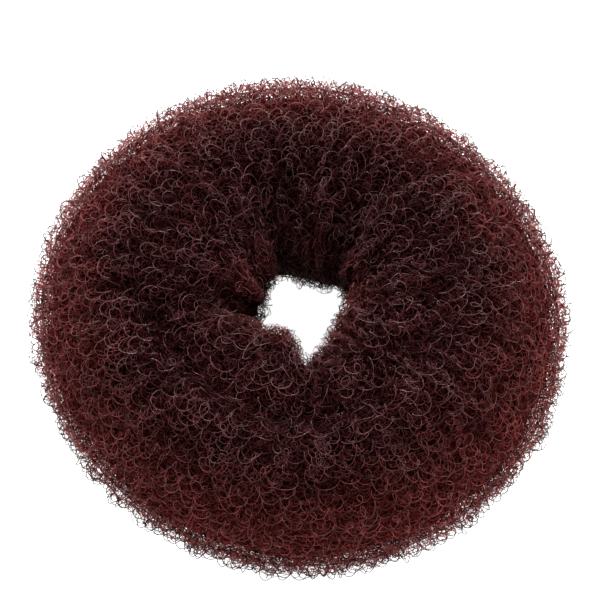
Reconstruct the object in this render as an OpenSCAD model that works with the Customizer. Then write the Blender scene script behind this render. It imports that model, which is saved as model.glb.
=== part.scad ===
// Soft ring for a hair bun: one length of tubular nylon net, rolled up on itself.
// Lengths are in millimetres and angles in degrees. The ring lies flat on z = 0 with
// its hole upright, its right side towards +X and its far side towards +Y.

/* [Ring] */
// Width across the whole ring
ring_w = 90; // [80:1:110]
// Height of the ring as it lies
ring_h = 37; // [30:0.5:44]
// Width of the hole, before its folds
hole_w = 13; // [8:0.5:20]
// Width of the band that lies pressed flat
rest_w = 12; // [6:0.5:16]

/* [Net] */
// Thickness of one ply of the curly net
ply = 4.6; // [3.5:0.1:5.5]
// Gap between one turn of the roll and the next
ply_gap = 0.8; // [0.5:0.1:1.5]
// Width of the hollow that the innermost turn curls round
core_w = 6; // [4:0.5:8]

/* [Lap] */
// Place of the free edge on the roll, up and over from its outer side
lap_at = 98; // [80:1:115]
// Length of net over which each turn sinks under the free edge
lap_sink = 12; // [8:0.5:16]
// Length of net that thins towards the free edge
edge_run = 8; // [4:0.5:12]
// Thickness of the free edge
edge_t = 2; // [1.2:0.1:3]

/* [Folds] */
// Depth of the deepest fold in the wall of the hole
fold_deep = 6; // [2:0.5:8]
// Bulge of the fullest gather into the hole
gather_full = 2.4; // [0:0.2:3]

/* [Hidden] */

// Form of the roll, a row for each 45 degrees round the ring from +X towards +Y:
// reach as a share of half the width, rise as a share of the height, the wall of the
// hole as a share of half the hole, and degrees by which the free edge lies further
// in than lap_at
REACH = 0;
RISE = 1;
HOLE = 2;
LAP = 3;
FORM = [
    [1.000, 0.98, 1.10, 2],
    [0.975, 0.96, 1.40, 6],
    [0.995, 0.97, 1.60, 26],
    [1.000, 0.99, 1.25, 8],
    [1.000, 1.00, 1.05, -10],
    [0.965, 0.98, 1.00, 0],
    [0.985, 0.97, 1.00, -6],
    [1.000, 1.00, 1.05, -2]
];

// Folds that draw the wall of the hole back: place round the ring, half width and
// slant in degrees, and depth as a share of fold_deep
AT = 0;
WIDE = 1;
SLANT = 2;
DEEP = 3;
FOLDS = [
    [23, 15, 8, 0.40],
    [55, 17, -8, 0.70],
    [107, 20, 10, 0.80],
    [150, 14, 5, 0.20],
    [190, 19, -14, 1.00],
    [280, 13, 5, 0.92],
    [300, 22, -5, 0.32]
];

// Gathers that bulge into the hole between the folds, in the same columns, with
// their depth as a share of gather_full
GATHERS = [
    [2, 14, 4, 0.5],
    [80, 18, 4, 0.4],
    [168, 20, 6, 0.8],
    [248, 26, -5, 1.0],
    [330, 20, 5, 0.4]
];

// The folds and gathers are centred on this angle up and over from the outer side,
// and fade out at this angle to each side of it
fold_up = 170;
fold_fade = 90;

// Steps round the ring, steps along one turn of the roll, and the share by which
// those crowd together at the free edge
around_n = 54;
turn_n = 24;
crowd = 0.25;

// Middle of the roll, its half width and half height, and the height of its middle
mid_r = (ring_w + hole_w) / 4;
roll_wide = (ring_w - hole_w) / 4;
rest_share = sqrt(1 - pow(rest_w / 2 / roll_wide, 2));
roll_tall = ring_h / (1 + rest_share);
mid_z = roll_tall * rest_share;
roll_r = min(roll_wide, roll_tall);

// Ply, pitch and thinning of the edge as shares of the roll's radius
ply_share = ply / roll_r;
pitch_share = (ply + ply_gap) / roll_r;
thin_share = (ply - edge_t) / roll_r;

// Parts of a turn that sink under the lap and thin towards the edge
sink_turn = lap_sink / roll_r / (2 * PI);
edge_turn = edge_run / roll_r / (2 * PI);

// Steps of net that the roll takes up, from the free edge to the hollow core
roll_steps = floor((roll_r - core_w / 2 - ply) / (ply + ply_gap) * turn_n);

// Eases from 0 to 1 as t does
function ease(t) = let (c = min(max(t, 0), 1)) c * c * (3 - 2 * c);

// A smooth hump, 1 at t = 0 and 0 beyond 1 to either side
function hump(t) = abs(t) < 1 ? (1 + cos(180 * t)) / 2 : 0;

// An angle brought to within half a turn of 0
function near_zero(angle) = angle - 360 * round(angle / 360);

// One column of FORM at an angle round the ring, smooth through its rows
function form_at(column, around) =
    let (
        n = len(FORM),
        place = around / 360 * n,
        row = floor(place),
        t = place - row,
        v = [for (step = [-1:2]) FORM[(row + step + n) % n][column]]
    )
    v[1] + t / 2 * (v[2] - v[0]
        + t * (2 * v[0] - 5 * v[1] + 4 * v[2] - v[3]
        + t * (3 * (v[1] - v[2]) + v[3] - v[0])));

// Sum of a list
function vsum(list) = list * [for (item = list) 1];

// How deep the rows of a table of folds are at a place on the roll, added up
function folded(table, around, up) =
    hump(near_zero(up - fold_up) / fold_fade) * vsum([
        for (row = table)
        let (at = row[AT] + row[SLANT] * near_zero(up - fold_up) / fold_fade)
        row[DEEP] * hump(near_zero(around - at) / row[WIDE])
    ]);

// Outline of the roll, across and up from its middle
function outline(around, up) =
    let (
        drawn = 1 - (fold_deep * folded(FOLDS, around, up)
            - gather_full * folded(GATHERS, around, up)) / roll_wide,
        wide = cos(up) > 0
            ? ring_w / 2 * form_at(REACH, around) - mid_r
            : mid_r - hole_w / 2 * form_at(HOLE, around),
        tall = sin(up) > 0 ? ring_h * form_at(RISE, around) - mid_z : roll_tall
    )
    [wide * drawn * cos(up), max(tall * drawn * sin(up), -mid_z)];

// Turns of net from the free edge to a step along the roll
function turn_at(i) = i / turn_n - crowd * sin(360 * i / turn_n) / (2 * PI);

// Turns by which the roll has sunk inwards at a place along the net
function sunk(turn) =
    let (whole = floor(turn))
    whole + ease((turn - whole - 1) / sink_turn + 1);

// Shares of the outline at which the ply's outer and inner faces lie
function outer_share(turn) =
    1 - pitch_share * sunk(turn) - thin_share * (1 - ease(turn / edge_turn));
function inner_share(turn) =
    1 - pitch_share * sunk(turn) - ply_share;

// A point on one face of the ply
function ply_point(around, turn, share) =
    let (
        up = lap_at + form_at(LAP, around) - 360 * turn,
        across = outline(around, up) * share,
        r = mid_r + across[0]
    )
    [r * cos(around), r * sin(around), mid_z + across[1]];

// The whole ply cut across: along its outer face and back along its inner face
function ply_section(around) = concat(
    [for (i = [0:roll_steps]) let (turn = turn_at(i))
        ply_point(around, turn, outer_share(turn))],
    [for (i = [roll_steps:-1:0]) let (turn = turn_at(i))
        ply_point(around, turn, inner_share(turn))]
);

// One length of net, rolled up into the ring
module net_roll() {
    points = [for (k = [0:around_n - 1]) each ply_section(360 * k / around_n)];
    n = 2 * (roll_steps + 1);
    faces = [
        for (k = [0:around_n - 1], j = [0:n - 1])
        let (
            a = k * n + j,
            b = k * n + (j + 1) % n,
            c = (k + 1) % around_n * n + (j + 1) % n,
            d = (k + 1) % around_n * n + j
        )
        each [[a, c, b], [a, d, c]]
    ];
    x = [for (p = points) p[0]];
    y = [for (p = points) p[1]];
    color("#3c1216")
    translate([-(min(x) + max(x)) / 2, -(min(y) + max(y)) / 2, 0])
    polyhedron(points, faces);
}

net_roll();
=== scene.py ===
"""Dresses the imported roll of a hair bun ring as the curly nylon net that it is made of.

Lengths are in metres. The ring lies flat on z = 0 with its hole upright. Places on the
roll are given by two angles: round the ring from its right side towards its far side, and
up and over the roll from its outer side."""

from math import cos, pi, radians, sin

import bpy
import numpy as np
from bpy.props import FloatProperty, FloatVectorProperty, IntProperty, PointerProperty, StringProperty
from bpy.types import NodeSocket, Operator, Panel, PropertyGroup
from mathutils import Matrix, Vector


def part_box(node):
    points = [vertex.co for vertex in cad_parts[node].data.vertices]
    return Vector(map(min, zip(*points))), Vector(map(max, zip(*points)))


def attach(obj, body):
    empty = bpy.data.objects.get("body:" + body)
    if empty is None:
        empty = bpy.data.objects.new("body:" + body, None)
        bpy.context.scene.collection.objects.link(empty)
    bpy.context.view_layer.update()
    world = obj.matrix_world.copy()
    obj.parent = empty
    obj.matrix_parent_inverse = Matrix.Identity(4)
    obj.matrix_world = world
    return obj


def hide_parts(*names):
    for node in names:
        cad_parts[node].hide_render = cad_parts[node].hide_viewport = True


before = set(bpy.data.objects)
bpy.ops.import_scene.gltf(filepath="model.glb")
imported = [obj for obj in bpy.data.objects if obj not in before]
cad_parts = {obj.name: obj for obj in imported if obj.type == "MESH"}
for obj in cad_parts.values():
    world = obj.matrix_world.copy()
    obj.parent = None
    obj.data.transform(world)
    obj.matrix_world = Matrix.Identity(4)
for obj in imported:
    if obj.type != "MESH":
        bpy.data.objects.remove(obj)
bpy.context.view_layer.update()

bl_info = {
    "name": "Net Bun Ring",
    "version": (1, 0, 0),
    "blender": (4, 5, 0),
    "location": "View3D > Sidebar > Bun Ring",
    "description": "Winds curly nylon net over a rolled bun ring and lights it on a pale floor",
    "category": "Add Mesh",
}

MM = 0.001
ROLL_NODE = "net_roll"
ROLL_BODY = "root"

ROLL_LOW, ROLL_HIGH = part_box(ROLL_NODE)

# Widths of the ring and of its hole, before dents and folds
RING_WIDTH = 90 * MM
HOLE_WIDTH = 13 * MM

# The roll's middle circle, which its surface is wrapped round, and half the roll's height
MIDDLE_RADIUS = (RING_WIDTH + HOLE_WIDTH) / 4
MIDDLE_HEIGHT = (ROLL_LOW.z + ROLL_HIGH.z) / 2
ROLL_RADIUS = (ROLL_HIGH.z - ROLL_LOW.z) / 2


# Sizes and colours

class BunRingNet(PropertyGroup):
    """Sizes of the curly net"""

    filament: FloatProperty(
        name="Filament", description="Thickness of the nylon filament",
        default=0.11 * MM, min=0.05 * MM, unit="LENGTH")
    loop: FloatProperty(
        name="Loop", description="Width of one loop of the net",
        default=2.1 * MM, min=0.5 * MM, unit="LENGTH")
    pitch: FloatProperty(
        name="Pitch", description="Step from one loop to the next along a course",
        default=2.3 * MM, min=0.5 * MM, unit="LENGTH")
    row_gap: FloatProperty(
        name="Row gap", description="Distance from one course of loops to the next",
        default=1.65 * MM, min=0.5 * MM, unit="LENGTH")
    drift: FloatProperty(
        name="Drift", description="How far the net is pulled about, many loops together",
        default=0.45 * MM, min=0.0, unit="LENGTH")
    wander: FloatProperty(
        name="Wander", description="How far a course strays from its row by itself",
        default=0.24 * MM, min=0.0, unit="LENGTH")
    lump: FloatProperty(
        name="Lump", description="How far the whole surface swells and sinks from place to place",
        default=0.3 * MM, min=0.0, unit="LENGTH")
    crease: FloatProperty(
        name="Crease", description="How far the net is drawn in beside its free edge",
        default=3.5 * MM, min=0.0, unit="LENGTH")
    tilt: FloatProperty(
        name="Tilt", description="How far the loops tip out of the surface",
        default=radians(24), min=0.0, subtype="ANGLE")
    swing: FloatProperty(
        name="Swing", description="How far the standing curls turn to either side",
        default=radians(60), min=0.0, subtype="ANGLE")
    hole_inset: FloatProperty(
        name="Hole inset", description="How much deeper the net lies at the hole than outside",
        default=0.3 * MM, min=0.0, unit="LENGTH")
    packed_depth: FloatProperty(
        name="Packed depth", description="Depth of the packed net below the skin, where deepest",
        default=1.0 * MM, min=0.0, unit="LENGTH")
    inner_depth: FloatProperty(
        name="Inner depth", description="Mean depth of the inner turns below the packed net",
        default=1.8 * MM, min=0.0, unit="LENGTH")


class BunRingColours(PropertyGroup):
    """Colours of the net, with painted light and shade in them, and of the floor"""

    # Heart: the nylon over the top and in the hole, kept dark as painted shade
    heart: FloatVectorProperty(
        name="Heart", description="Sunken filament over the top and in the hole",
        default=(0.074, 0.008, 0.009), size=3, min=0, max=1, subtype="COLOR")
    # Rim: the same nylon painted brighter red on the outer wall, as painted light coming through the
    # net
    rim: FloatVectorProperty(
        name="Rim", description="Sunken filament on the outer wall, where light comes through",
        default=(0.415, 0.065, 0.058), size=3, min=0, max=1, subtype="COLOR")
    # The raised colours are paler and greyer: a painted sheen on the filament that stands highest
    sheen_heart: FloatVectorProperty(
        name="Raised heart", description="Raised filament over the top and in the hole",
        default=(0.092, 0.031, 0.033), size=3, min=0, max=1, subtype="COLOR")
    sheen_rim: FloatVectorProperty(
        name="Raised rim", description="Raised filament on the outer wall",
        default=(0.403, 0.069, 0.062), size=3, min=0, max=1, subtype="COLOR")
    # Packed net: near black, as painted shade deep in the net
    packed: FloatVectorProperty(
        name="Packed net", description="Packed turns, seen between the loops",
        default=(0.040, 0.009, 0.010), size=3, min=0, max=1, subtype="COLOR")
    floor: FloatVectorProperty(
        name="Floor", description="Colour of the floor",
        default=(0.95, 0.95, 0.95), size=3, min=0, max=1, subtype="COLOR")


# Small helpers

def deselect_all():
    if bpy.context.object and bpy.context.object.mode != "OBJECT":
        bpy.ops.object.mode_set(mode="OBJECT")
    bpy.ops.object.select_all(action="DESELECT")


def make_active(piece):
    deselect_all()
    piece.select_set(True)
    bpy.context.view_layer.objects.active = piece


def apply_modifiers(piece):
    make_active(piece)
    for modifier in list(piece.modifiers):
        bpy.ops.object.modifier_apply(modifier=modifier.name)


def place_in_mesh(piece):
    """Moves the piece's place into its mesh, so that its object sits at the origin."""
    make_active(piece)
    bpy.ops.object.transform_apply(location=True, rotation=True, scale=True)


def finish_piece(piece, material):
    """Gives a piece of net its material and its body, and prints its triangles."""
    piece.data.materials.clear()
    piece.data.materials.append(material)
    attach(piece, ROLL_BODY)
    print(piece.name, sum(len(face.vertices) - 2 for face in piece.data.polygons), "triangles")


# Random shapes

def wander(rng, count, waves):
    """Smooth random values that close on themselves, about 1 in size."""
    waves = max(2, min(int(waves), count // 2 - 1))
    spectrum = np.zeros(count // 2 + 1, complex)
    spectrum[1:waves] = rng.normal(size=waves - 1) + 1j * rng.normal(size=waves - 1)
    values = np.fft.irfft(spectrum, count)
    return values / values.std()


# How many waves are added up in each drift, and the most crests of one over the roll
DRIFT_WAVES = 12
DRIFT_UP_WAVES = 12


class Drift:
    """A smooth random height over the whole roll, about 1 in size, made of waves that go
    round the ring between the fewest and the most times."""

    def __init__(self, rng, fewest=3, most=34):
        self.around_waves = rng.integers(fewest, most, DRIFT_WAVES)
        self.up_waves = rng.integers(-DRIFT_UP_WAVES, DRIFT_UP_WAVES + 1, DRIFT_WAVES)
        self.starts = rng.random(DRIFT_WAVES) * 2 * pi

    def at(self, around, up):
        waves = np.outer(around, self.around_waves) + up * self.up_waves + self.starts
        return np.sin(waves).sum(1) / np.sqrt(DRIFT_WAVES / 2)


# The swells of the surface, the same for all layers, and those of the inner turns
LUMP_SEED = 40
SURFACE_LUMPS = Drift(np.random.default_rng(LUMP_SEED), 8, 50)
INNER_LUMPS = Drift(np.random.default_rng(LUMP_SEED), 10, 60)


# Surface of the roll

# Steps of the skin round the ring and round the roll, and places at which a stretch of
# it is measured before it is divided into rows
AROUND_STEPS = 256
UP_STEPS = 160
ROW_SAMPLES = 60
SKIN_NAME = "roll_skin"

# Clearance at the hole's axis of the torus that is drawn in to the roll, and the number
# of times that the skin is smoothed
AXIS_CLEARANCE = 1 * MM
SKIN_SMOOTHING = 40


class Skin:
    """The roll's surface as a grid, round the ring and up and over the roll."""

    def __init__(self, piece):
        count = AROUND_STEPS * UP_STEPS
        points = np.empty(count * 3, np.float32)
        normals = np.empty(count * 3, np.float32)
        piece.data.vertices.foreach_get("co", points)
        piece.data.vertices.foreach_get("normal", normals)
        self.points = points.reshape(AROUND_STEPS, UP_STEPS, 3)
        self.normals = normals.reshape(AROUND_STEPS, UP_STEPS, 3)

    def line(self, up):
        """Steps round the ring at an angle up and over the roll, and the length run by each."""
        around = np.linspace(0, 2 * pi, AROUND_STEPS + 1)
        points, _ = self.at(around, np.full(AROUND_STEPS + 1, up))
        steps = np.linalg.norm(np.diff(points, axis=0), axis=1)
        return around, np.append(0, np.cumsum(steps))

    def rows(self, first, last, gap):
        """Angles up and over the roll that lie a gap apart, from first to last."""
        up = np.linspace(first, last, ROW_SAMPLES)
        across = np.hypot(self.points[..., 0], self.points[..., 1])
        high = self.points[..., 2]
        columns = np.arange(UP_STEPS + 1) / UP_STEPS * 2 * pi
        mean_r = np.interp(up % (2 * pi), columns, np.append(across.mean(0), across[:, 0].mean()))
        mean_z = np.interp(up % (2 * pi), columns, np.append(high.mean(0), high[:, 0].mean()))
        run = np.append(0, np.cumsum(np.hypot(np.diff(mean_r), np.diff(mean_z))))
        count = max(1, round(run[-1] / gap))
        return np.interp((np.arange(count) + 0.5) / count * run[-1], run, up)

    def at(self, around, up):
        """Points and outward directions at places on the skin."""
        i = (around / (2 * pi) * AROUND_STEPS) % AROUND_STEPS
        j = (up / (2 * pi) * UP_STEPS) % UP_STEPS
        i0 = np.floor(i).astype(int) % AROUND_STEPS
        j0 = np.floor(j).astype(int) % UP_STEPS
        i1 = (i0 + 1) % AROUND_STEPS
        j1 = (j0 + 1) % UP_STEPS
        u = (i - np.floor(i))[:, None]
        v = (j - np.floor(j))[:, None]

        def blended(grid):
            low = grid[i0, j0] * (1 - u) + grid[i1, j0] * u
            high = grid[i0, j1] * (1 - u) + grid[i1, j1] * u
            return low * (1 - v) + high * v

        normal = blended(self.normals)
        return blended(self.points), normal / np.linalg.norm(normal, axis=1, keepdims=True)


# The crease beside the free edge of the net: angle round the ring, angle up and over
# the roll and depth as a share, and its half width in degrees
CREASE = (
    (0, 100, 0.6), (45, 104, 0.0), (90, 124, 0.0), (135, 106, 0.0), (180, 90, 0.3),
    (205, 94, 1.0), (235, 96, 0.9), (250, 94, 0.3), (268, 90, 1.0), (290, 92, 0.4),
    (315, 96, 0.3), (360, 100, 0.6),
)
CREASE_WIDTH = 8


def crease(around, up):
    """How deep the net is drawn in beside its free edge, 0 to 1."""
    angles, lines, shares = np.array(CREASE).T
    turn = np.degrees(around) % 360
    away = np.degrees(up) - np.interp(turn, angles, lines)
    return np.interp(turn, angles, shares) * np.exp(-(away / CREASE_WIDTH) ** 2)


# Share of the groove under the free edge that loose curls fill, round the ring, the
# degrees of net that they bridge, and the stretch up and over the roll where they do
GROOVE_FILL = (
    (0, 0.7), (45, 1.0), (135, 1.0), (180, 0.7), (225, 0.3), (270, 0.3), (315, 0.6), (360, 0.7),
)
FILL_BRIDGE = 70
FILL_STRETCH = (50, 75, 175, 200)


def shape_skin(piece, crease_depth):
    """Raises the skin in the groove under the free edge of the net and draws in its crease."""
    points = np.empty(AROUND_STEPS * UP_STEPS * 3, np.float32)
    piece.data.vertices.foreach_get("co", points)
    points = points.reshape(AROUND_STEPS, UP_STEPS, 3)
    around = np.arange(AROUND_STEPS) / AROUND_STEPS * 360
    up = np.arange(UP_STEPS) / UP_STEPS * 360
    radius = np.hypot(points[..., 0], points[..., 1])
    middle = points * (MIDDLE_RADIUS / radius)[..., None]
    middle[..., 2] = MIDDLE_HEIGHT
    spokes = points - middle
    reach = np.linalg.norm(spokes, axis=2)
    half = round(FILL_BRIDGE / 2 / 360 * UP_STEPS)
    windows = range(-half, half + 1)
    spanned = np.max([np.roll(reach, step, 1) for step in windows], 0)
    bridged = np.min([np.roll(spanned, step, 1) for step in windows], 0)
    share = np.interp(around, *zip(*GROOVE_FILL))[:, None] * np.interp(up, FILL_STRETCH, (0, 1, 1, 0))
    drawn_in = crease_depth * crease(*np.meshgrid(np.radians(around), np.radians(up), indexing="ij"))
    grown = 1 + share * (bridged / reach - 1) - drawn_in / reach
    points = (middle + spokes * grown[..., None]).astype(np.float32)
    piece.data.vertices.foreach_set("co", points.ravel())
    piece.data.update()


class BUNRING_OT_skin(Operator):
    """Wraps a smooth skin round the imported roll, which the net is laid on"""

    bl_idname = "bunring.skin"
    bl_label = "Roll Skin"

    def execute(self, context):
        deselect_all()
        bpy.ops.mesh.primitive_torus_add(
            location=(0, 0, MIDDLE_HEIGHT),
            major_radius=MIDDLE_RADIUS, minor_radius=MIDDLE_RADIUS - AXIS_CLEARANCE,
            major_segments=AROUND_STEPS, minor_segments=UP_STEPS)
        skin = context.object
        skin.name = SKIN_NAME
        wrap = skin.modifiers.new("Wrap", "SHRINKWRAP")
        wrap.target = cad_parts[ROLL_NODE]
        wrap.wrap_method = "PROJECT"
        wrap.use_negative_direction = True
        wrap.use_positive_direction = False
        apply_modifiers(skin)
        place_in_mesh(skin)
        shape_skin(skin, context.scene.bunring_net.crease)
        smooth = skin.modifiers.new("Smooth", "SMOOTH")
        smooth.iterations = SKIN_SMOOTHING
        apply_modifiers(skin)
        return {"FINISHED"}


# Curly net

# A loop's width along its course and its height across it, as shares of the loop size,
# how much both vary, and their least and most
LOOP_WIDE = 0.85
LOOP_TALL = 1.15
LOOP_VARIES = 0.22
LOOP_LEAST = 0.5
LOOP_MOST = 1.4

# How unevenly the filament runs round its loops, in radians
UNEVEN_RUN = 0.35

# Waves to each loop in what changes from one to the next, in how a course strays and in
# how its loops swing
LOOP_WAVES = 0.5
ROW_WAVES = 0.4
SWING_WAVES = 0.3

# Loops gather on courses that are shorter than a circle of this radius, down to this
# share of their width, and a course has at least so many
GATHER_RADIUS = 20 * MM
GATHERED_LEAST = 0.55
FEWEST_LOOPS = 8

# Share of their tilt that loops on edge lack, and share of the crease's depth added to their depth,
# for painted shade in the crease
EDGE_STIFFNESS = 0.7
CREASE_SHADE = 0.35


def surface_directions(around, normal):
    """Directions along a course and across it, both in the surface."""
    along = np.stack([-np.sin(around), np.cos(around), np.zeros(len(around))], 1)
    along -= normal * (along * normal).sum(1, keepdims=True)
    along /= np.linalg.norm(along, axis=1, keepdims=True)
    return along, np.cross(normal, along)


def turned(direction, towards, angle):
    """A direction turned by an angle towards another that is square to it."""
    return direction * np.cos(angle)[:, None] + towards * np.sin(angle)[:, None]


def course(skin, up, first_turn, layer, net, drifts, rng):
    """One closed course of loops round the ring, as the points of its filament and the depth of each,
    deepened in the crease for painted shade."""
    angles, run = skin.line(up)
    length = run[-1]
    gathered = min(1, max(GATHERED_LEAST, length / (2 * pi * GATHER_RADIUS)))
    loops = max(FEWEST_LOOPS, round(length / (net.pitch * layer.spread * gathered)))
    count = loops * layer.loop_points
    turn = np.arange(count) / count
    phase = 2 * pi * loops * turn + UNEVEN_RUN * wander(rng, count, loops * LOOP_WAVES)
    around = np.interp((turn + first_turn / loops) % 1 * length, run, angles)
    pull_around, pull_up = (net.drift * drift.at(around, up) for drift in drifts)
    around = around + pull_around / (length / (2 * pi))
    strayed = up + (pull_up + net.wander * wander(rng, count, loops * ROW_WAVES)) / ROLL_RADIUS
    base, normal = skin.at(around, strayed)
    along, across = surface_directions(around, normal)
    wide, tall = (
        share * net.loop * layer.scale / 2
        * np.clip(1 + LOOP_VARIES * wander(rng, count, loops * LOOP_WAVES), LOOP_LEAST, LOOP_MOST)
        for share in (LOOP_WIDE, LOOP_TALL))
    on_edge = abs(sin(layer.lean))
    tilt = net.tilt * (1 - EDGE_STIFFNESS * on_edge)
    tip = tilt * wander(rng, count, loops * LOOP_WAVES)
    roll = layer.lean + tilt * wander(rng, count, loops * LOOP_WAVES)
    swing = net.swing * on_edge * wander(rng, count, loops * SWING_WAVES)
    first = turned(turned(along, across, swing), normal, tip)
    second = turned(across, normal, roll)
    sunk = layer.depth + net.hole_inset * (1 - np.cos(up)) / 2
    sunk += net.wander * wander(rng, count, loops * ROW_WAVES)
    sunk -= net.lump * SURFACE_LUMPS.at(around, up)
    points = base - normal * sunk[:, None]
    points += first * (wide * gathered * np.cos(phase))[:, None]
    points += second * (tall * np.sin(phase))[:, None]
    # Depth for the painted shade, with painted shade in the crease added
    deep = ((base - points) * normal).sum(1) + CREASE_SHADE * net.crease * crease(around, up)
    points[:, 2] = np.maximum(points[:, 2], net.filament / 2)
    return points, deep


# Sides of the filament, and the attribute that holds how deep each point of it lies, crease included,
# from which the material paints shade
PROFILE_SIDES = 3
DEPTH = "depth"


def filament_profile(thick):
    """A small closed triangle, swept along each course to give the filament its body."""
    deselect_all()
    bpy.ops.mesh.primitive_circle_add(vertices=PROFILE_SIDES, radius=thick / 2)
    bpy.ops.object.convert(target="CURVE")
    return bpy.context.object


def wound_piece(name, courses, thick):
    """Closed filaments through the points of each course, as one mesh that knows its depth."""
    curve = bpy.data.curves.new(name, "CURVE")
    curve.dimensions = "3D"
    curve.twist_mode = "MINIMUM"
    for points, _ in courses:
        spline = curve.splines.new("POLY")
        spline.points.add(len(points) - 1)
        spline.points.foreach_set("co", np.c_[points, np.ones(len(points))].ravel())
        spline.use_cyclic_u = True
    piece = bpy.data.objects.new(name, curve)
    bpy.context.collection.objects.link(piece)
    profile = filament_profile(thick)
    curve.bevel_mode = "OBJECT"
    curve.bevel_object = profile
    make_active(piece)
    bpy.ops.object.convert(target="MESH")
    bpy.data.objects.remove(profile)
    bpy.ops.object.shade_smooth()
    deep = np.concatenate([deep for _, deep in courses]).repeat(PROFILE_SIDES)
    depths = piece.data.attributes.new(DEPTH, "FLOAT", "POINT")
    depths.data.foreach_set("value", deep.astype(np.float32))
    return piece


class BUNRING_OT_net_layer(Operator):
    """Winds one layer of curly filament over a stretch of the roll"""

    bl_idname = "bunring.net_layer"
    bl_label = "Net Layer"

    piece: StringProperty(name="Piece", description="Name of the new piece", default="net_layer")
    first: FloatProperty(
        name="First", description="Where the layer starts, up and over the roll",
        default=0.0, subtype="ANGLE")
    last: FloatProperty(
        name="Last", description="Where the layer ends, up and over the roll",
        default=pi, subtype="ANGLE")
    depth: FloatProperty(
        name="Depth", description="Depth of the loops' middles below the skin",
        default=0.5 * MM, unit="LENGTH")
    scale: FloatProperty(name="Scale", description="Size of the loops as a share", default=1.0)
    spread: FloatProperty(name="Spread", description="Step between loops as a share", default=1.0)
    apart: FloatProperty(name="Apart", description="Gap between courses as a share", default=1.0)
    lean: FloatProperty(
        name="Lean", description="How far the loops stand up on edge",
        default=0.0, subtype="ANGLE")
    loop_points: IntProperty(name="Points", description="Points in one loop", default=9, min=5)
    # Shade makes a darker copy of the filament material: painted shade on deeper and standing layers
    shade: FloatProperty(
        name="Shade", description="Brightness of the filament as a share", default=1.0, min=0, max=1)
    thick: FloatProperty(
        name="Thick", description="Thickness of the filament as a share", default=1.0, min=0.1)
    seed: IntProperty(name="Seed", description="Start of the random draws", default=1)

    def execute(self, context):
        net = context.scene.bunring_net
        skin = Skin(bpy.data.objects[SKIN_NAME])
        rng = np.random.default_rng(self.seed)
        drifts = Drift(rng), Drift(rng)
        rows = skin.rows(self.first, self.last, net.row_gap * self.apart)
        courses = [
            course(skin, up, row % 2 / 2, self, net, drifts, rng)
            for row, up in enumerate(rows)
        ]
        piece = wound_piece(self.piece, courses, net.filament * self.thick)
        finish_piece(piece, filament_material(context.scene.bunring_colours, self.shade))
        return {"FINISHED"}


# Packed turns under the loops

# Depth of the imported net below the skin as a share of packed_depth, at angles up and over
# the roll: most over the top, less on the outer wall and least underneath
SINK_SHARES = ((0, 0.6), (60, 0.9), (120, 0.99), (180, 0.75), (240, 0.45), (300, 0.6), (360, 0.6))

# How uneven the inner turns are, and their least and most depth, as shares of inner_depth
UNEVEN = 0.5
UNEVEN_LEAST = 0.25
UNEVEN_MOST = 2.0

# The number of times that the turns are smoothed
TURN_SMOOTHING = 6


def sink_skin(piece, name, depth, further, voxel):
    """Turns the skin into turns of net that lie `depth` below it by SINK_SHARES and then
    about `further` down, unevenly."""
    piece.name = name
    piece.data.name = name
    group = piece.vertex_groups.new(name="sink")
    deepest = depth + further * UNEVEN_MOST
    around = np.arange(AROUND_STEPS) * 2 * pi / AROUND_STEPS
    for j in range(UP_STEPS):
        up = 2 * pi * j / UP_STEPS
        even = depth * np.interp(np.degrees(up), *zip(*SINK_SHARES))
        lump = np.clip(1 + UNEVEN * INNER_LUMPS.at(around, up), UNEVEN_LEAST, UNEVEN_MOST)
        for i, sunk in enumerate(even + further * lump):
            group.add([i * UP_STEPS + j], sunk / deepest, "REPLACE")
    sink = piece.modifiers.new("Sink", "DISPLACE")
    sink.strength = -deepest
    sink.mid_level = 0.0
    sink.vertex_group = group.name
    voxels = piece.modifiers.new("Voxels", "REMESH")
    voxels.mode = "VOXEL"
    voxels.voxel_size = voxel
    smooth = piece.modifiers.new("Smooth", "SMOOTH")
    smooth.iterations = TURN_SMOOTHING
    apply_modifiers(piece)
    bpy.ops.object.shade_smooth()


class BUNRING_OT_inner_turns(Operator):
    """Sinks a copy of the skin, as the inner turns that no light comes through"""

    bl_idname = "bunring.inner_turns"
    bl_label = "Inner Turns"

    voxel: FloatProperty(
        name="Voxel", description="Grain of the surface", default=2.0 * MM, unit="LENGTH")

    def execute(self, context):
        net = context.scene.bunring_net
        make_active(bpy.data.objects[SKIN_NAME])
        bpy.ops.object.duplicate()
        piece = context.object
        sink_skin(piece, "inner_turns", net.packed_depth, net.inner_depth, self.voxel)
        finish_piece(piece, inner_material(context.scene.bunring_colours))
        return {"FINISHED"}


class BUNRING_OT_packed_net(Operator):
    """Sinks the skin under the loops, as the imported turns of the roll"""

    bl_idname = "bunring.packed_net"
    bl_label = "Packed Net"

    voxel: FloatProperty(
        name="Voxel", description="Grain of the surface", default=1.2 * MM, unit="LENGTH")

    def execute(self, context):
        net = context.scene.bunring_net
        piece = bpy.data.objects[SKIN_NAME]
        sink_skin(piece, "packed_net", net.packed_depth, 0, self.voxel)
        finish_piece(piece, packed_material(context.scene.bunring_colours))
        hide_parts(ROLL_NODE)
        return {"FINISHED"}


# Shader nodes

def feed(tree, socket, value):
    """Feeds a socket from another one, or sets it to a number, vector or colour."""
    if isinstance(value, NodeSocket):
        tree.links.new(value, socket)
    else:
        socket.default_value = value


def calculated(tree, kind, operation, values):
    """The result of a new node that works out an operation."""
    node = tree.nodes.new(kind)
    node.operation = operation
    for socket, value in zip(node.inputs, values):
        feed(tree, socket, value)
    return node.outputs[0]


def math_node(tree, operation, *values):
    """The result of a Math node that is fed by sockets or numbers."""
    return calculated(tree, "ShaderNodeMath", operation, values)


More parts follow.
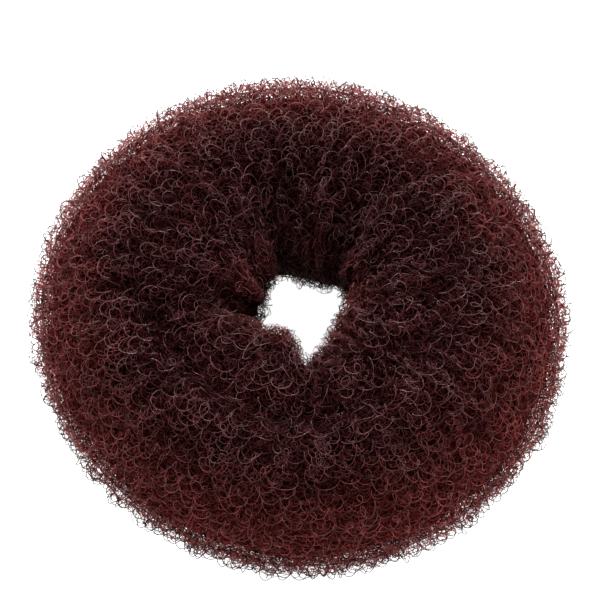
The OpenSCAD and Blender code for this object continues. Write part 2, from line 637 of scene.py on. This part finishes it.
def vector_node(tree, operation, *values):
    """The result of a Vector Math node that is fed by sockets or vectors."""
    return calculated(tree, "ShaderNodeVectorMath", operation, values)


def map_range(tree, value, start=(0, 1), end=(0, 1), interpolation="LINEAR"):
    """A value carried from the start range to the end range and held within it."""
    node = tree.nodes.new("ShaderNodeMapRange")
    node.interpolation_type = interpolation
    labels = ("Value", "From Min", "From Max", "To Min", "To Max")
    for label, given in zip(labels, (value, *start, *end)):
        feed(tree, node.inputs[label], given)
    return node.outputs["Result"]


def noise(tree, position, scale):
    """The outputs of a Noise Texture node: Fac and Color."""
    node = tree.nodes.new("ShaderNodeTexNoise")
    feed(tree, node.inputs["Vector"], position)
    feed(tree, node.inputs["Scale"], scale)
    return node.outputs


def mixed(tree, factor, first, second):
    """A colour between two, each a socket or three numbers."""
    node = tree.nodes.new("ShaderNodeMix")
    node.data_type = "RGBA"
    feed(tree, node.inputs["Factor"], factor)
    for label, colour in (("A", first), ("B", second)):
        feed(tree, node.inputs[label], colour if isinstance(colour, NodeSocket) else (*colour, 1))
    return node.outputs["Result"]


def new_group(name, values, masks):
    """A shader node group that reads a position and named numbers and puts out masks, and
    its two end nodes."""
    group = bpy.data.node_groups.new(name, "ShaderNodeTree")
    group.interface.new_socket("Position", in_out="INPUT", socket_type="NodeSocketVector")
    for label, value in values.items():
        socket = group.interface.new_socket(label, in_out="INPUT", socket_type="NodeSocketFloat")
        socket.default_value = value
    for label in masks:
        group.interface.new_socket(label, in_out="OUTPUT", socket_type="NodeSocketFloat")
    return group, group.nodes.new("NodeGroupInput"), group.nodes.new("NodeGroupOutput")


def placed_group(tree, group, position):
    """A node that holds a group and is fed the position."""
    node = tree.nodes.new("ShaderNodeGroup")
    node.node_tree = group
    feed(tree, node.inputs["Position"], position)
    return node


def shaded(share, colour):
    """A colour darkened to a share."""
    return [share * channel for channel in colour]


# Shared patterns

def from_axis(tree, x, y):
    """How far a place lies from an upright axis."""
    squares = [math_node(tree, "MULTIPLY", side, side) for side in (x, y)]
    return math_node(tree, "SQRT", math_node(tree, "ADD", *squares))


def light_through_group():
    """Where painted light comes through the net, 0 to 1. Mask, the painted light, is most at the outer
    edge, above all on the far side, and at the foot of the hole. Wall is the outer wall by itself."""
    name = "Thin Net"
    if name in bpy.data.node_groups:
        return bpy.data.node_groups[name]
    group, start, end = new_group(
        name,
        {
            "Nearer": 3 * MM, "Inner Radius": 26 * MM, "Outer Radius": RING_WIDTH / 2, "Falloff": 2,
            "Hole Radius": 13 * MM, "Hole Full Radius": 8 * MM, "Hole Share": 0.25,
            "Foot Start": 16 * MM, "Foot Full": 9 * MM, "Patch Scale": 120, "Breakup": 0.25,
            "Wall End": radians(72), "Wall Full": radians(52),
        },
        ("Mask", "Wall"))
    given = start.outputs
    split = group.nodes.new("ShaderNodeSeparateXYZ")
    feed(group, split.inputs[0], given["Position"])
    x, y, z = split.outputs
    # Nearer shifts the painted light towards the far side, and Hole Share with the foot paints it at
    # the foot of the hole
    reach = from_axis(group, x, math_node(group, "ADD", y, given["Nearer"]))
    outer = map_range(group, reach, (given["Inner Radius"], given["Outer Radius"]))
    outer = math_node(group, "POWER", outer, given["Falloff"])
    radius = from_axis(group, x, y)
    hole = map_range(group, radius, (given["Hole Radius"], given["Hole Full Radius"]))
    foot = map_range(group, z, (given["Foot Start"], given["Foot Full"]), (given["Hole Share"], 1))
    lit_through = math_node(group, "MAXIMUM", outer, math_node(group, "MULTIPLY", hole, foot))
    patches = noise(group, given["Position"], given["Patch Scale"])["Fac"]
    centred = math_node(group, "SUBTRACT", patches, 0.5)
    broken = math_node(group, "MULTIPLY_ADD", centred, given["Breakup"], lit_through)
    feed(group, end.inputs["Mask"], map_range(group, broken))
    outward = math_node(group, "SUBTRACT", radius, MIDDLE_RADIUS)
    rise = math_node(group, "SUBTRACT", z, MIDDLE_HEIGHT)
    away = math_node(group, "ABSOLUTE", math_node(group, "ARCTAN2", rise, outward))
    wall = map_range(group, away, (given["Wall End"], given["Wall Full"]))
    feed(group, end.inputs["Wall"], wall)
    return group


def thread_pattern_group():
    """Curls of thread drawn on a surface: 1 on the thread and 0 between."""
    name = "Thread Pattern"
    if name in bpy.data.node_groups:
        return bpy.data.node_groups[name]
    group, start, end = new_group(
        name,
        {"Scale": 450, "Ring": 0.42, "Thread": 0.09, "Wobble": 0.8 * MM, "Wobble Scale": 400},
        ("Mask",))
    given = start.outputs
    colour = noise(group, given["Position"], given["Wobble Scale"])["Color"]
    push = vector_node(group, "SUBTRACT", colour, (0.5, 0.5, 0.5))
    moved = vector_node(group, "MULTIPLY_ADD", push, given["Wobble"], given["Position"])
    cells = group.nodes.new("ShaderNodeTexVoronoi")
    feed(group, cells.inputs["Vector"], moved)
    feed(group, cells.inputs["Scale"], given["Scale"])
    away = math_node(group, "SUBTRACT", cells.outputs["Distance"], given["Ring"])
    away = math_node(group, "ABSOLUTE", away)
    feed(group, end.inputs["Mask"], map_range(group, away, (0, given["Thread"]), (1, 0), "SMOOTHSTEP"))
    return group


# Materials

# The values that noise mostly lies between
NOISE_RANGE = (0.3, 0.7)

# Flecks to the metre, their least and most brightness, and how much roughness varies
FLECK_SCALE = 700
FLECK_BRIGHTNESS = (0.7, 1.35)
ROUGHNESS_VARIES = 0.08


class Nylon:
    """A new nylon material, with what all kinds of the net share: the tint, dark over the top as
    painted shade and red on the outer wall as painted light coming through the net, the flecks and the
    uneven gloss."""

    def __init__(self, name, heart, rim, roughness, specular):
        self.material = bpy.data.materials.new(name)
        self.material.use_nodes = True
        self.tree = self.material.node_tree
        self.shader = self.tree.nodes["Principled BSDF"]
        self.shader.inputs["Specular IOR Level"].default_value = specular
        self.position = self.tree.nodes.new("ShaderNodeTexCoord").outputs["Object"]
        # The mask of painted light coming through the net
        self.lit_through = placed_group(self.tree, light_through_group(), self.position).outputs
        self.tint = mixed(self.tree, self.lit_through["Mask"], heart, rim)
        flecks = noise(self.tree, self.position, FLECK_SCALE)["Fac"]
        self.fleck = map_range(self.tree, flecks, NOISE_RANGE, FLECK_BRIGHTNESS)
        shine = (roughness - ROUGHNESS_VARIES, roughness + ROUGHNESS_VARIES)
        self.set("Roughness", map_range(self.tree, flecks, end=shine))

    def set(self, label, value):
        """Feeds one of the shader's own sockets."""
        feed(self.tree, self.shader.inputs[label], value)

    def show(self, colour, brightness):
        """Shows a colour at a brightness that changes over the surface."""
        shade = self.tree.nodes.new("ShaderNodeHueSaturation")
        feed(self.tree, shade.inputs["Color"], colour)
        feed(self.tree, shade.inputs["Value"], brightness)
        self.set("Base Color", shade.outputs["Color"])


# Roughness of the filament, the shade above which it is bright, and the gloss of bright
# and of dull filament
FILAMENT_ROUGHNESS = 0.35
BRIGHT_SHADE = 0.9
BRIGHT_GLOSS = 0.45
DULL_GLOSS = 0.1

# Painted shade: depth in the net over which the filament's painted light falls to 1 / e, the brightest
# that raised filament gets, and the painted light that the thinnest net lets through to all of its
# filament
LIGHT_DEPTH = 1.2 * MM
BRIGHTEST = 1.25
LET_THROUGH = 0.6

# Depths, above the skin, between which curls that stand off the outer wall darken as painted shade,
# and the share of light that the highest lack
STANDING_DEPTHS = (-0.2 * MM, -0.9 * MM)
STANDING_SHADE = 0.6

# The light between which the filament's colour turns from the sunken one to the raised one, a paler
# painted sheen
RAISED_LIGHT = (0.65, 1.25)


def filament_material(colours, shade):
    """Nylon filament, darker as painted shade where it lies deep and paler with painted sheen where it
    is raised.
    """
    # Each shade is its own darker copy of the filament: painted shade
    name = f"nylon_filament_painted_shade_{round(shade * 100)}"
    if name in bpy.data.materials:
        return bpy.data.materials[name]
    gloss = BRIGHT_GLOSS if shade > BRIGHT_SHADE else DULL_GLOSS
    heart, rim = shaded(shade, colours.heart), shaded(shade, colours.rim)
    nylon = Nylon(name, heart, rim, FILAMENT_ROUGHNESS, gloss)
    tree, lit_through = nylon.tree, nylon.lit_through
    depths = tree.nodes.new("ShaderNodeAttribute")
    depths.attribute_name = DEPTH
    deep = depths.outputs["Fac"]
    # Painted shade that deepens with depth in the net, lifted by painted light where the net is thin
    light = math_node(tree, "EXPONENT", math_node(tree, "DIVIDE", deep, -LIGHT_DEPTH))
    light = math_node(tree, "MINIMUM", light, BRIGHTEST)
    light = math_node(tree, "MAXIMUM", light, math_node(tree, "MULTIPLY", lit_through["Mask"], LET_THROUGH))
    # Painted shade on the curls that stand off the outer wall
    standing = map_range(tree, deep, STANDING_DEPTHS, (0, -STANDING_SHADE))
    dimmed = math_node(tree, "MULTIPLY_ADD", standing, lit_through["Wall"], 1)
    fleck = math_node(tree, "MULTIPLY", nylon.fleck, dimmed)
    # Paler colours of the raised filament: painted sheen
    sheen_heart = shaded(shade, colours.sheen_heart)
    sheen_rim = shaded(shade, colours.sheen_rim)
    painted_sheen = mixed(tree, lit_through["Mask"], sheen_heart, sheen_rim)
    colour = mixed(tree, map_range(tree, light, RAISED_LIGHT), nylon.tint, painted_sheen)
    nylon.show(colour, math_node(tree, "MULTIPLY", fleck, light))
    return nylon.material


# Roughness of the imported turns, their painted light on the outer wall as a share of the filament's,
# and the painted shade of the inner turns as shares of the imported net's and filament's
PACKED_ROUGHNESS = 0.7
PACKED_RIM = 0.7
INNER_HEART = 0.6
INNER_RIM = 0.35

# Curls drawn on the imported net: curls to the metre and brightness as a share, their thickness, how
# far they are raised, and the brightness of the ground, near black as painted shade, and of the curls
PACKED_CURLS = ((420, 1.0), (560, 0.8), (760, 0.6), (1050, 0.45))
PACKED_THREAD = 0.07 * MM
PACKED_RELIEF = 0.15 * MM
PACKED_BRIGHTNESS = (0.06, 1.6)

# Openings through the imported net: openings to the metre, how much of the spread noise is
# open over the top, where nothing is, and on the outer wall, and the brightness from
# which a drawn curl crosses an opening
OPENING_SCALE = 2600
OPEN_NOISE = (-0.01, 0.42)
CROSSING = 0.6


def packed_material(colours):
    """Packed net: curls on a ground darkened as painted shade, with small openings on the outer wall.
    """
    rim = shaded(PACKED_RIM, colours.rim)
    nylon = Nylon("packed_nylon", colours.packed, rim, PACKED_ROUGHNESS, 0)
    tree = nylon.tree
    drawn = 0
    for scale, share in PACKED_CURLS:
        curls = placed_group(tree, thread_pattern_group(), nylon.position)
        curls.inputs["Scale"].default_value = scale
        curls.inputs["Thread"].default_value = PACKED_THREAD * scale
        mask = math_node(tree, "MULTIPLY", curls.outputs["Mask"], share)
        drawn = math_node(tree, "MAXIMUM", mask, drawn)
    nylon.show(nylon.tint, map_range(tree, drawn, end=PACKED_BRIGHTNESS))
    edge = map_range(tree, nylon.lit_through["Wall"], end=OPEN_NOISE)
    spread = map_range(tree, noise(tree, nylon.position, OPENING_SCALE)["Fac"], NOISE_RANGE)
    solid = math_node(tree, "GREATER_THAN", spread, edge)
    crossing = math_node(tree, "GREATER_THAN", drawn, CROSSING)
    nylon.set("Alpha", math_node(tree, "MAXIMUM", solid, crossing))
    bump = tree.nodes.new("ShaderNodeBump")
    bump.inputs["Distance"].default_value = PACKED_RELIEF
    feed(tree, bump.inputs["Height"], drawn)
    nylon.set("Normal", bump.outputs["Normal"])
    return nylon.material


def inner_material(colours):
    """Inner turns, as a net darkened further as painted shade, without openings."""
    heart, rim = shaded(INNER_HEART, colours.packed), shaded(INNER_RIM, colours.rim)
    nylon = Nylon("inner_nylon", heart, rim, PACKED_ROUGHNESS, 0)
    nylon.show(nylon.tint, nylon.fleck)
    return nylon.material


# Stage

# What the camera and the lights point at
FOCUS = Vector((0, 0, 18 * MM))

# The lights: name, place, width and watts
LIGHTS = (
    ("key", (-0.05, 0.6, 0.6), 0.25, 8),
    ("front_fill", (0.05, -0.7, 0.35), 0.5, 2.9),
    ("far_rim", (0, 0.85, 0.22), 0.3, 4.4),
    ("left_rim", (-0.75, 0.2, 0.4), 0.3, 3.4),
    ("right_rim", (0.75, 0.2, 0.4), 0.3, 3.4),
)

# Width and roughness of the floor, and how much the floor and the world glow on the ring
FLOOR_WIDTH = 6
FLOOR_ROUGHNESS = 0.8
FLOOR_GLOW = 0.3
WORLD_GLOW = 0.16
WHITE = (1, 1, 1, 1)

# The photo's side in pixels, its pixels for each metre at the ring, and where the
# ring's middle falls in it, right of and below the photo's own middle
PHOTO_SIDE = 600
PHOTO_SCALE = 5895
PHOTO_OFFSET = (-0.83, 17.9)

# Width of the camera's sensor in millimetres
SENSOR_WIDTH = 36


class BUNRING_OT_stage(Operator):
    """Adds the pale floor, the soft lights and the camera"""

    bl_idname = "bunring.stage"
    bl_label = "Stage"

    elevation: FloatProperty(
        name="Elevation", description="Height of the camera above the floor, as an angle",
        default=radians(62.3), subtype="ANGLE")
    turn: FloatProperty(
        name="Turn", description="Turn of the camera round the ring",
        default=radians(2.56), subtype="ANGLE")
    distance: FloatProperty(
        name="Distance", description="Camera to the middle of the ring",
        default=366.9 * MM, unit="LENGTH")

    def execute(self, context):
        scene = context.scene
        add_floor(scene.bunring_colours)
        add_world(scene)
        for light in LIGHTS:
            add_light(*light)
        add_camera(scene, self.elevation, self.turn, self.distance)
        scene.view_settings.view_transform = "Standard"
        return {"FINISHED"}


def plain_to_camera(tree, strength):
    """A glow of 1 as the camera sees it and of the given strength on the ring."""
    rays = tree.nodes.new("ShaderNodeLightPath")
    return map_range(tree, rays.outputs["Is Camera Ray"], end=(strength, 1))


def aim(thing, direction):
    """Points a light or the camera in a direction, with its top up."""
    thing.rotation_euler = direction.to_track_quat("-Z", "Y").to_euler()


def add_floor(colours):
    deselect_all()
    bpy.ops.mesh.primitive_plane_add(size=FLOOR_WIDTH, location=(0, 0, 0))
    floor = bpy.context.object
    floor.name = "floor"
    material = bpy.data.materials.new("pale_floor")
    material.use_nodes = True
    tree = material.node_tree
    shader = tree.nodes["Principled BSDF"]
    shader.inputs["Base Color"].default_value = (*colours.floor, 1)
    shader.inputs["Roughness"].default_value = FLOOR_ROUGHNESS
    shader.inputs["Emission Color"].default_value = WHITE
    feed(tree, shader.inputs["Emission Strength"], plain_to_camera(tree, FLOOR_GLOW))
    floor.data.materials.append(material)


def add_world(scene):
    world = bpy.data.worlds.new("studio")
    world.use_nodes = True
    tree = world.node_tree
    background = tree.nodes["Background"]
    background.inputs["Color"].default_value = WHITE
    feed(tree, background.inputs["Strength"], plain_to_camera(tree, WORLD_GLOW))
    scene.world = world


def add_light(name, place, width, watts):
    deselect_all()
    bpy.ops.object.light_add(type="AREA", location=place)
    light = bpy.context.object
    light.name = name
    light.data.shape = "DISK"
    light.data.size = width
    light.data.energy = watts
    aim(light, FOCUS - Vector(place))


def add_camera(scene, elevation, turn, distance):
    away = Vector((sin(turn) * cos(elevation), -cos(turn) * cos(elevation), sin(elevation)))
    deselect_all()
    bpy.ops.object.camera_add(location=FOCUS + away * distance)
    camera = bpy.context.object
    camera.name = "camera"
    aim(camera, -away)
    camera.data.sensor_width = SENSOR_WIDTH
    camera.data.lens = SENSOR_WIDTH * PHOTO_SCALE * distance / PHOTO_SIDE
    camera.data.shift_x = -PHOTO_OFFSET[0] / PHOTO_SIDE
    camera.data.shift_y = PHOTO_OFFSET[1] / PHOTO_SIDE
    camera.data.dof.use_dof = False
    scene.camera = camera


# Panel and registration

STEPS = (
    BUNRING_OT_skin, BUNRING_OT_net_layer, BUNRING_OT_inner_turns, BUNRING_OT_packed_net,
    BUNRING_OT_stage,
)


class BUNRING_PT_panel(Panel):
    """Lists the steps that build the ring and its stage"""

    bl_idname = "BUNRING_PT_panel"
    bl_label = "Bun Ring"
    bl_space_type = "VIEW_3D"
    bl_region_type = "UI"
    bl_category = "Bun Ring"

    def draw(self, context):
        column = self.layout.column()
        for step in STEPS:
            column.operator(step.bl_idname)


CLASSES = (BunRingNet, BunRingColours, *STEPS, BUNRING_PT_panel)


def register():
    for item in CLASSES:
        bpy.utils.register_class(item)
    bpy.types.Scene.bunring_net = PointerProperty(type=BunRingNet)
    bpy.types.Scene.bunring_colours = PointerProperty(type=BunRingColours)


def unregister():
    del bpy.types.Scene.bunring_colours
    del bpy.types.Scene.bunring_net
    for item in reversed(CLASSES):
        bpy.utils.unregister_class(item)


# The layers of net: piece, first and last angle up and over the roll, depth in millimetres, shares of
# the loop size, the step between loops and the gap between courses, lean, points in a loop, and shares
# of brightness, a painted shade on deeper and standing layers, and of thickness
LAYERS = (
    ("outer_net_wall", -55, 50, -0.2, 1.00, 1.10, 1.10, 0, 10, 1.0, 0.9),
    ("outer_net_top", 50, 250, -0.2, 1.00, 1.10, 1.10, 0, 10, 1.0, 0.9),
    ("outer_net_under", 250, 305, 0.2, 1.05, 1.20, 1.20, 0, 8, 1.0, 1.0),
    ("fine_net_low", -60, -5, 0.2, 0.50, 0.68, 0.68, 0, 6, 0.9, 0.9),
    ("fine_net_wall", -5, 50, 0.2, 0.50, 0.65, 0.65, 0, 6, 0.9, 0.9),
    ("fine_net_top", 50, 130, 0.2, 0.50, 0.54, 0.54, 0, 6, 0.9, 1.0),
    ("fine_net_hole", 130, 250, 0.2, 0.50, 0.56, 0.56, 0, 6, 0.9, 1.0),
    ("standing_curls", -55, 65, -0.4, 0.70, 0.85, 1.60, -90, 8, 0.25, 1.4),
    ("standing_hole_curls", 120, 220, 0.1, 0.70, 1.00, 1.80, -90, 8, 0.5, 1.0),
)


def main():
    register()
    bpy.ops.bunring.skin()
    for seed, layer in enumerate(LAYERS, 1):
        piece, first, last, depth, scale, spread, apart, lean, loop_points, shade, thick = layer
        bpy.ops.bunring.net_layer(
            piece=piece, first=radians(first), last=radians(last), depth=depth * MM, scale=scale,
            spread=spread, apart=apart, lean=radians(lean), loop_points=loop_points, shade=shade,
            thick=thick, seed=seed)
    bpy.ops.bunring.inner_turns()
    bpy.ops.bunring.packed_net()
    bpy.ops.bunring.stage()


if __name__ == "__main__":
    main()
